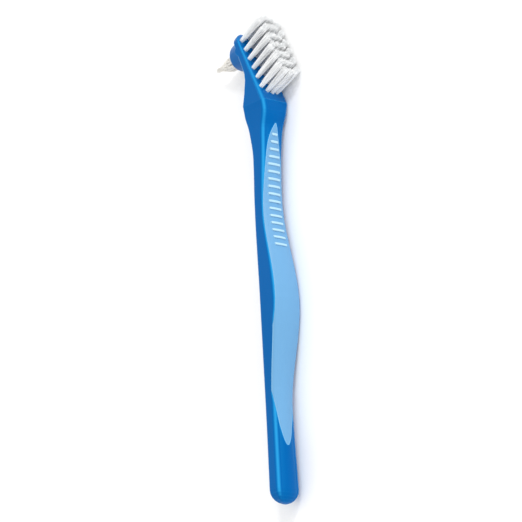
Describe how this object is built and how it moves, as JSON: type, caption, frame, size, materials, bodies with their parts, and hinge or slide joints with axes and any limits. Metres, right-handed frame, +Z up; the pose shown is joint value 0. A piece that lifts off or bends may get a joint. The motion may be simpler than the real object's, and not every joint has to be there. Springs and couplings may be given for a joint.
{
  "type": "denture_brush",
  "caption": "Denture brush: a slim handle with a ribbed soft inlay, a tilted head with a broad field of bristle tufts in front and a pointed tuft on a boss behind",
  "frame": {"origin": "bottom centre of the bounding box, on the plane that the brush lies on", "axes": "+X from the handle's end to the tip of the head; -Y is the front with the broad bristle field, +Y the back with the pointed tuft; +Z up, square to the flat side that the brush lies on"},
  "size_m": [0.1814, 0.0412, 0.0125],
  "materials": {
    "handle_plastic": "glossy moulded polypropylene, blue",
    "grip_rubber": "soft satin elastomer, pale blue",
    "bristle_nylon": "white nylon filaments",
    "back_bristle_nylon": "off-white nylon filaments, trimmed to a point",
    "anchor_brass": "thin brass strip"
  },
  "bodies": {
    "root": {"handle": "handle_plastic", "grip": "grip_rubber", "tuft_01": "bristle_nylon", "tuft_02": "bristle_nylon", "tuft_03": "bristle_nylon", "tuft_04": "bristle_nylon", "tuft_05": "bristle_nylon", "tuft_06": "bristle_nylon", "tuft_07": "bristle_nylon", "tuft_08": "bristle_nylon", "tuft_09": "bristle_nylon", "tuft_10": "bristle_nylon", "tuft_11": "bristle_nylon", "tuft_12": "bristle_nylon", "tuft_13": "bristle_nylon", "tuft_14": "bristle_nylon", "tuft_15": "bristle_nylon", "tuft_16": "bristle_nylon", "tuft_17": "bristle_nylon", "tuft_18": "bristle_nylon", "tuft_19": "bristle_nylon", "tuft_20": "bristle_nylon", "tuft_21": "bristle_nylon", "tuft_22": "bristle_nylon", "tuft_23": "bristle_nylon", "tuft_24": "bristle_nylon", "tuft_25": "bristle_nylon", "tuft_26": "bristle_nylon", "tuft_27": "bristle_nylon", "tuft_28": "bristle_nylon", "tuft_29": "bristle_nylon", "tuft_30": "bristle_nylon", "tuft_31": "bristle_nylon", "tuft_32": "bristle_nylon", "tuft_33": "bristle_nylon", "back_tuft_1": "back_bristle_nylon", "back_tuft_2": "back_bristle_nylon", "back_tuft_3": "back_bristle_nylon", "back_tuft_4": "back_bristle_nylon", "back_tuft_5": "back_bristle_nylon", "back_tuft_6": "back_bristle_nylon", "back_tuft_7": "back_bristle_nylon", "tuft_anchors": "anchor_brass", "back_tuft_anchors": "anchor_brass"}
  },
  "joints": []
}
